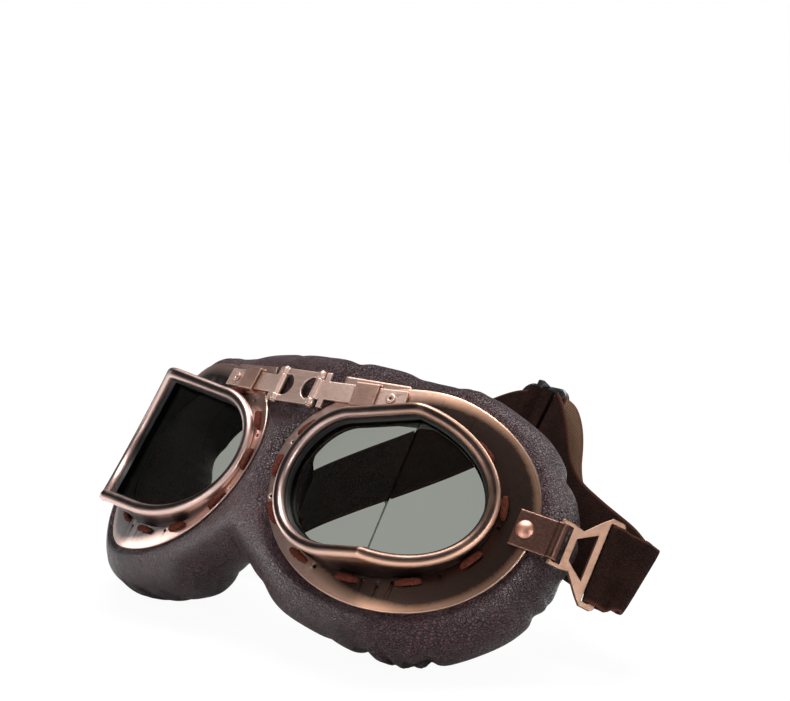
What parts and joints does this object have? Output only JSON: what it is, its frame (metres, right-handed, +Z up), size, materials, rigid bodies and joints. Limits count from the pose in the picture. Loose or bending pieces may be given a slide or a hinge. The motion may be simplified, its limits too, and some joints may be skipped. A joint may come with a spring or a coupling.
{
  "type": "flying goggles",
  "caption": "Leather-cushioned goggles: copper frames with angled smoke lenses, a hinged nose bridge, swinging strap rings and an elastic strap with a slider.",
  "frame": {"origin": "centre of the footprint at the table, as the goggles lie on their cushion and strap", "axes": "+X from the wearer's right eye to the left eye, +Y from the lenses back to the face side, +Z up"},
  "size_m": [0.2318, 0.1118, 0.0898],
  "materials": {
    "copper": "brushed antique copper with dark patina",
    "rim_copper": "brushed antique copper, edges rubbed bright",
    "clip_copper": "dark brown antique copper",
    "ring_copper": "satin light copper",
    "gasket": "matte black",
    "lens": "smoke grey-green, clear",
    "lace": "red-brown suede cord",
    "leather": "dark purple-brown pebbled leather",
    "foam": "soft foam",
    "strap": "dark brown woven elastic",
    "adjuster": "glossy black"
  },
  "bodies": {
    "bridge": {"bridge_link": "rim_copper", "hinge_pin_right": "rim_copper", "hinge_pin_left": "rim_copper", "cushion_bridge": "leather", "strap_inner": "strap", "strap_outer": "strap", "strap_rear": "strap"},
    "eye_right": {"frame_plate_right": "copper", "rim_right": "rim_copper", "lens_gasket_right": "gasket", "front_lens_right": "lens", "side_lens_right": "lens", "lace_right": "lace", "nose_arm_right": "rim_copper", "arm_eyelet_right": "rim_copper", "arm_keeper_right": "copper", "temple_clip_right": "clip_copper", "clip_rivet_right": "rim_copper", "cushion_right": "leather", "foam_right": "foam", "strap_fold_right": "strap"},
    "eye_left": {"frame_plate_left": "copper", "rim_left": "rim_copper", "lens_gasket_left": "gasket", "front_lens_left": "lens", "side_lens_left": "lens", "lace_left": "lace", "nose_arm_left": "rim_copper", "arm_eyelet_left": "rim_copper", "arm_keeper_left": "copper", "temple_clip_left": "clip_copper", "clip_rivet_left": "rim_copper", "cushion_left": "leather", "foam_left": "foam", "strap_fold_left": "strap"},
    "ring_right": {"strap_ring_right": "ring_copper", "strap_end_right": "strap"},
    "ring_left": {"strap_ring_left": "ring_copper", "strap_end_left": "strap"},
    "slider": {"strap_adjuster": "adjuster", "strap_loop": "strap"}
  },
  "joints": [
    {"name": "eye_fold_right", "type": "hinge", "parent": "bridge", "child": "eye_right", "pos_m": [0.0084, -0.02058, 0.07853], "axis": [0, 0.5878, 0.809], "range_deg": [-4, 8], "stiffness_Nm_per_rad": 0.4, "deforming": ["strap_inner", "strap_outer"]},
    {"name": "eye_fold_left", "type": "hinge", "parent": "bridge", "child": "eye_left", "pos_m": [-0.0084, -0.02058, 0.07853], "axis": [0, -0.5878, -0.809], "range_deg": [-4, 8], "stiffness_Nm_per_rad": 0.4, "deforming": ["strap_rear"]},
    {"name": "ring_swing_right", "type": "hinge", "parent": "eye_right", "child": "ring_right", "pos_m": [0.09915, -0.0105, 0.04105], "axis": [0, 0.5878, 0.809], "range_deg": [-28, 14], "deforming": ["strap_fold_right"]},
    {"name": "ring_swing_left", "type": "hinge", "parent": "eye_left", "child": "ring_left", "pos_m": [-0.09915, -0.0105, 0.04105], "axis": [0, -0.5878, -0.809], "range_deg": [-28, 14], "deforming": ["strap_fold_left"]},
    {"name": "adjuster_slide", "type": "slide", "parent": "bridge", "child": "slider", "axis": [-0.9976, 0.041, 0.0564], "range_m": [-0.004, 0.004]}
  ]
}
